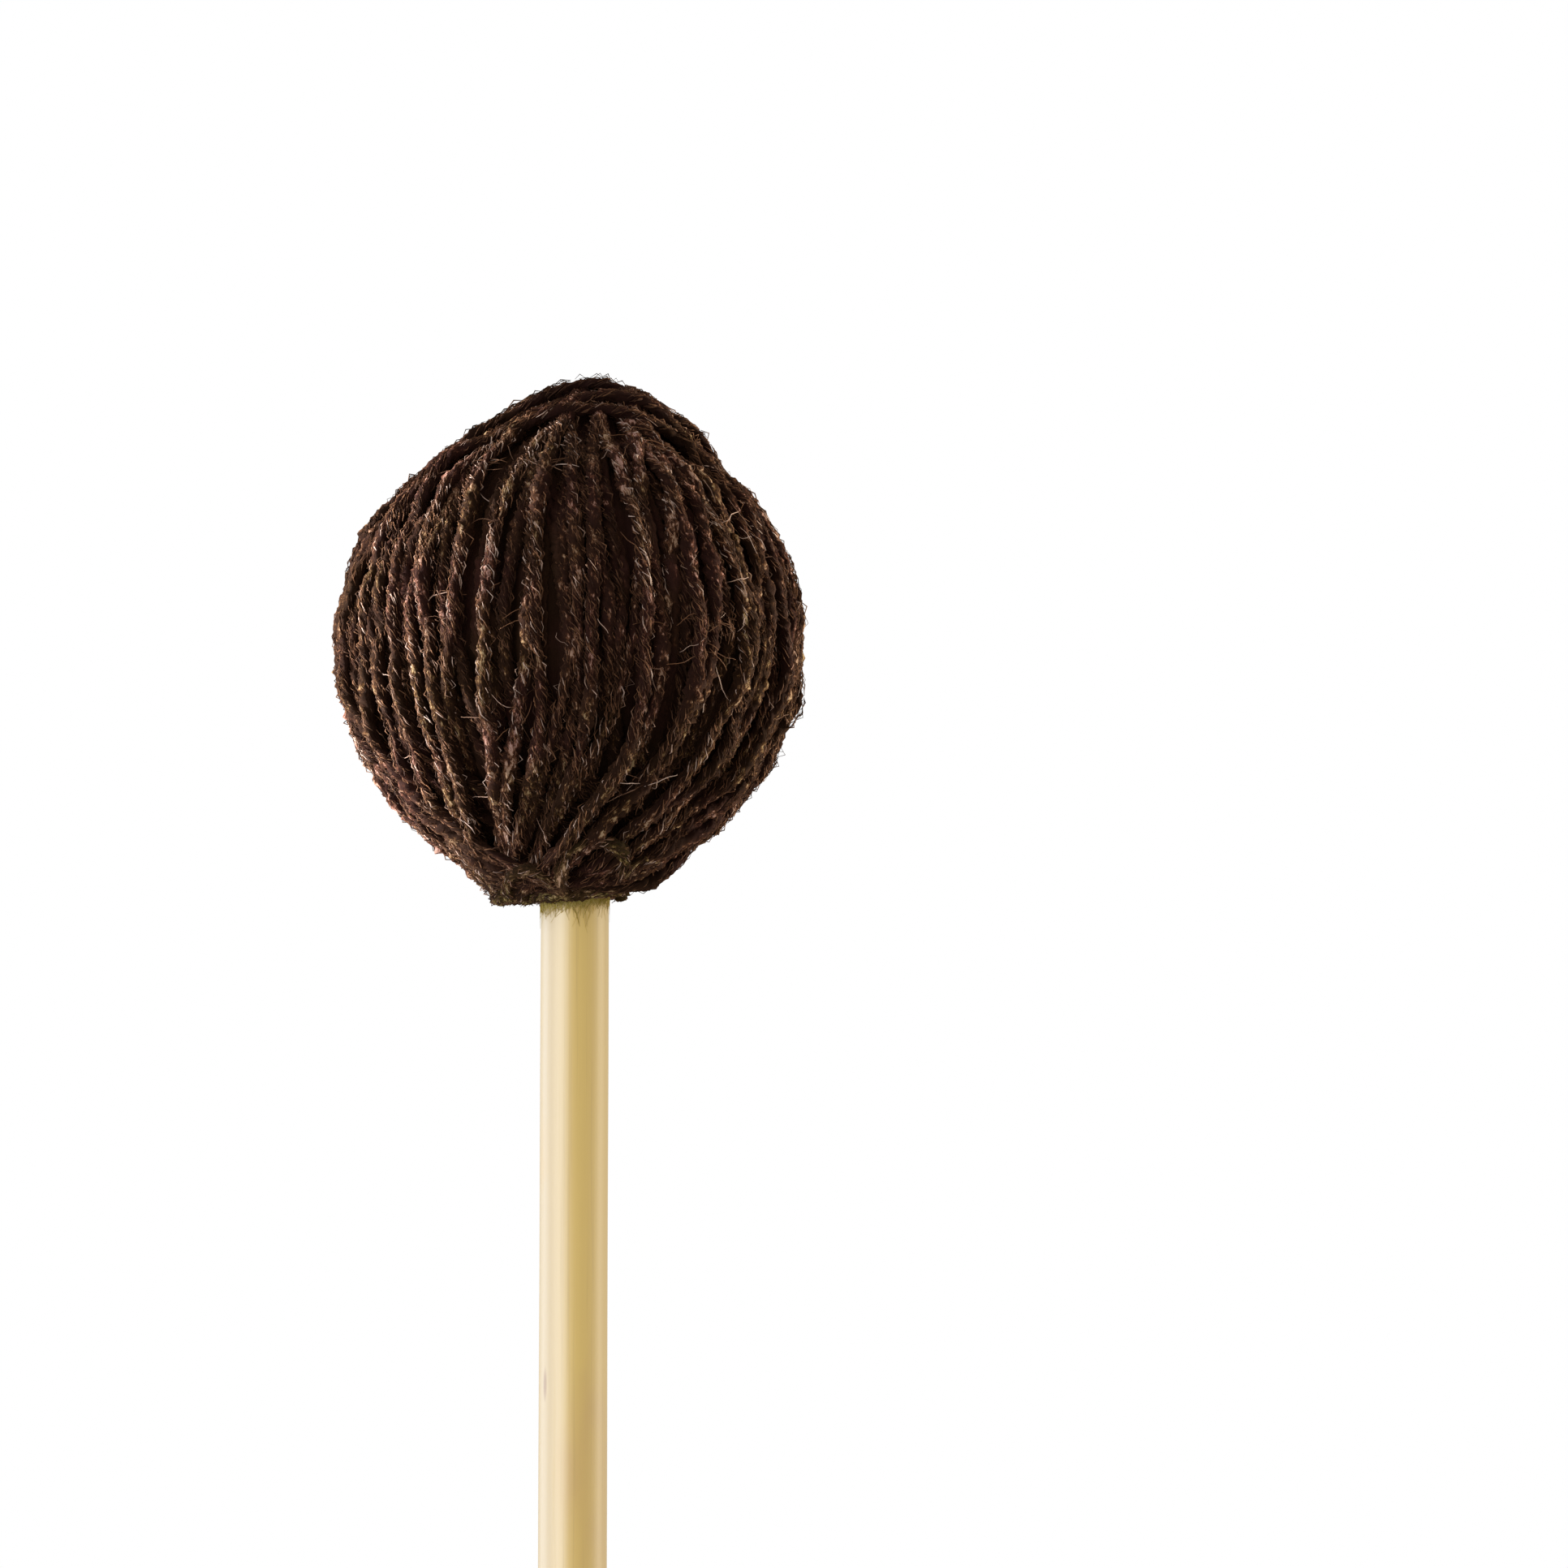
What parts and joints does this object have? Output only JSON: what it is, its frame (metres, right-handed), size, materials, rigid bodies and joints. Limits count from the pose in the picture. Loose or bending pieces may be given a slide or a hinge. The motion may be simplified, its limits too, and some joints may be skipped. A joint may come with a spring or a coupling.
{
  "type": "vibraphone mallet",
  "caption": "Percussion mallet: a yarn-wound ball head over a rubber core, glued on a straight rattan handle with a plain cut butt.",
  "frame": {"origin": "on the handle's axis where the player holds it, 110 mm above the butt's face", "axes": "+Z along the handle towards the head, -Y towards the front of the picture"},
  "size_m": [0.033, 0.033, 0.3902],
  "materials": {
    "rattan": "clear satin lacquer",
    "core_rubber": "moulded, matt",
    "glue": "set adhesive",
    "inner_yarn": "wool yarn",
    "outer_yarn": "wool yarn",
    "stitch_yarn": "wool yarn"
  },
  "bodies": {
    "root": {"rattan_handle": "rattan", "rubber_core": "core_rubber", "core_glue": "glue", "inner_winding": "inner_yarn", "outer_winding": "outer_yarn", "base_stitch": "stitch_yarn"}
  },
  "joints": []
}
